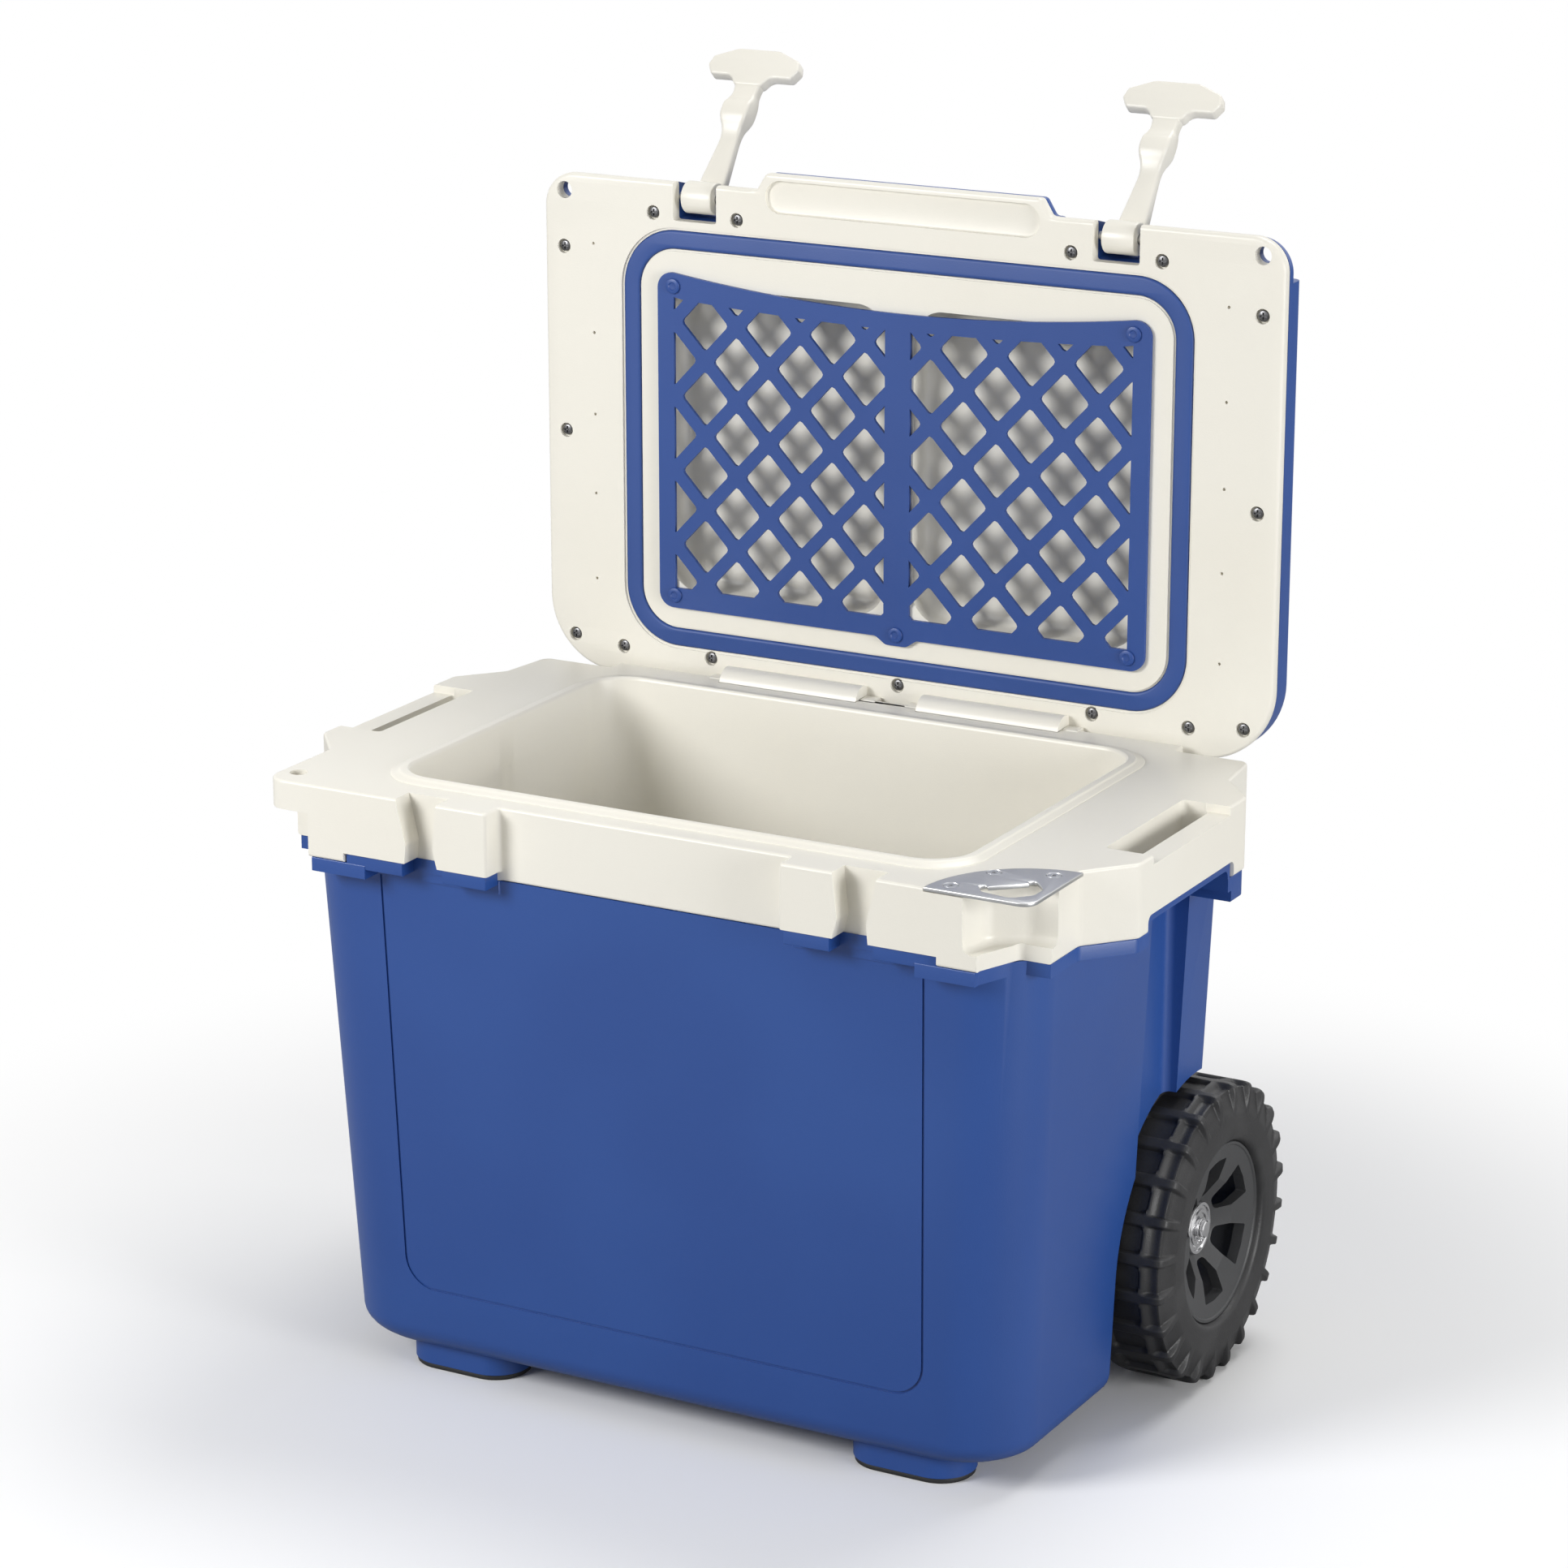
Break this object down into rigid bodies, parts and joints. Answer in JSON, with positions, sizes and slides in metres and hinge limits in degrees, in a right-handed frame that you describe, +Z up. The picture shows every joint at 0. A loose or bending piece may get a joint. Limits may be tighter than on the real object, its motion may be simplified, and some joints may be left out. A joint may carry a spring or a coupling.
{
  "type": "wheeled cooler",
  "caption": "Hard-sided insulated cooler on rear wheels, with a hinged lid, rubber latches, net-covered lid pockets, bottle opener, drain plug and telescopic pull handle.",
  "frame": {"origin": "on the ground, under the middle of the bounding box with the lid open", "axes": "+Z up, X across the width, the front with the latch keepers towards -Y, the wheels and handle towards +Y"},
  "size_m": [0.5, 0.3818, 0.6971],
  "materials": {
    "blue_plastic": "softly textured medium blue moulding",
    "blue_rubber": "matt blue seal",
    "cream_plastic": "satin warm white moulding",
    "pale_foam": "rigid insulating foam, out of sight",
    "black_rubber": "matt black",
    "tyre": "matt black with a pocketed tread",
    "grey_plastic": "satin dark grey",
    "brushed_steel": "brushed stainless",
    "bright_chrome": "polished",
    "dark_screw": "blackened steel"
  },
  "bodies": {
    "body": {"axle_left": "bright_chrome", "axle_right": "bright_chrome", "axle_washer_left": "bright_chrome", "axle_washer_right": "bright_chrome", "body_foam": "pale_foam", "foot_pad_left": "black_rubber", "foot_pad_right": "black_rubber", "handle_bracket_lower": "blue_plastic", "handle_bracket_upper": "blue_plastic", "handle_tube_outer_left": "brushed_steel", "handle_tube_outer_right": "brushed_steel", "hinge_pin_left": "brushed_steel", "hinge_pin_right": "brushed_steel", "inner_liner": "cream_plastic", "opener_plate": "brushed_steel", "opener_screw_1": "brushed_steel", "opener_screw_2": "brushed_steel", "opener_screw_3": "brushed_steel", "outer_shell": "blue_plastic"},
    "lid": {"cargo_net": "blue_plastic", "latch_pin_left": "brushed_steel", "latch_pin_right": "brushed_steel", "lid_foam": "pale_foam", "lid_liner": "cream_plastic", "lid_screw_1": "dark_screw", "lid_screw_10": "dark_screw", "lid_screw_11": "dark_screw", "lid_screw_12": "dark_screw", "lid_screw_13": "dark_screw", "lid_screw_14": "dark_screw", "lid_screw_15": "dark_screw", "lid_screw_2": "dark_screw", "lid_screw_3": "dark_screw", "lid_screw_4": "dark_screw", "lid_screw_5": "dark_screw", "lid_screw_6": "dark_screw", "lid_screw_7": "dark_screw", "lid_screw_8": "dark_screw", "lid_screw_9": "dark_screw", "lid_seal": "blue_rubber", "lid_shell": "blue_plastic", "net_peg_1": "blue_plastic", "net_peg_2": "blue_plastic", "net_peg_3": "blue_plastic", "net_peg_4": "blue_plastic", "net_peg_5": "blue_plastic"},
    "latch_left": {"latch_left": "cream_plastic"},
    "latch_right": {"latch_right": "cream_plastic"},
    "wheel_left": {"tyre_left": "tyre", "wheel_hub_left": "grey_plastic"},
    "wheel_right": {"tyre_right": "tyre", "wheel_hub_right": "grey_plastic"},
    "handle_middle": {"handle_tube_middle_left": "brushed_steel", "handle_tube_middle_right": "brushed_steel"},
    "handle_inner": {"handle_tube_inner_left": "brushed_steel", "handle_tube_inner_right": "brushed_steel", "handle_grip": "black_rubber"},
    "button": {"handle_button": "grey_plastic"},
    "plug": {"drain_plug": "blue_plastic"}
  },
  "joints": [
    {"name": "lid_hinge", "type": "hinge", "parent": "body", "child": "lid", "pos_m": [0, 0.10344, 0.3427], "axis": [1, 0, 0], "range_deg": [0, 90]},
    {"name": "latch_left_hinge", "type": "hinge", "parent": "lid", "child": "latch_left", "pos_m": [-0.1314, 0.11844, 0.621], "axis": [1, 0, 0], "range_deg": [0, 124]},
    {"name": "latch_right_hinge", "type": "hinge", "parent": "lid", "child": "latch_right", "pos_m": [0.1314, 0.11844, 0.621], "axis": [1, 0, 0], "range_deg": [0, 124]},
    {"name": "wheel_left_spin", "type": "hinge", "parent": "body", "child": "wheel_left", "pos_m": [-0.2126, 0.05344, 0.0848], "axis": [1, 0, 0], "continuous": true},
    {"name": "wheel_right_spin", "type": "hinge", "parent": "body", "child": "wheel_right", "pos_m": [0.2126, 0.05344, 0.0848], "axis": [1, 0, 0], "continuous": true},
    {"name": "handle_lower_slide", "type": "slide", "parent": "body", "child": "handle_middle", "axis": [0, 0, 1], "range_m": [0, 0.215]},
    {"name": "handle_upper_slide", "type": "slide", "parent": "handle_middle", "child": "handle_inner", "axis": [0, 0, 1], "range_m": [0, 0.215]},
    {"name": "button_press", "type": "slide", "parent": "handle_inner", "child": "button", "axis": [0, 0, -1], "range_m": [0, 0.003], "stiffness_N_per_m": 400, "springref_m": -0.002},
    {"name": "plug_draw", "type": "slide", "parent": "body", "child": "plug", "axis": [-1, 0, 0], "range_m": [0, 0.021]}
  ]
}
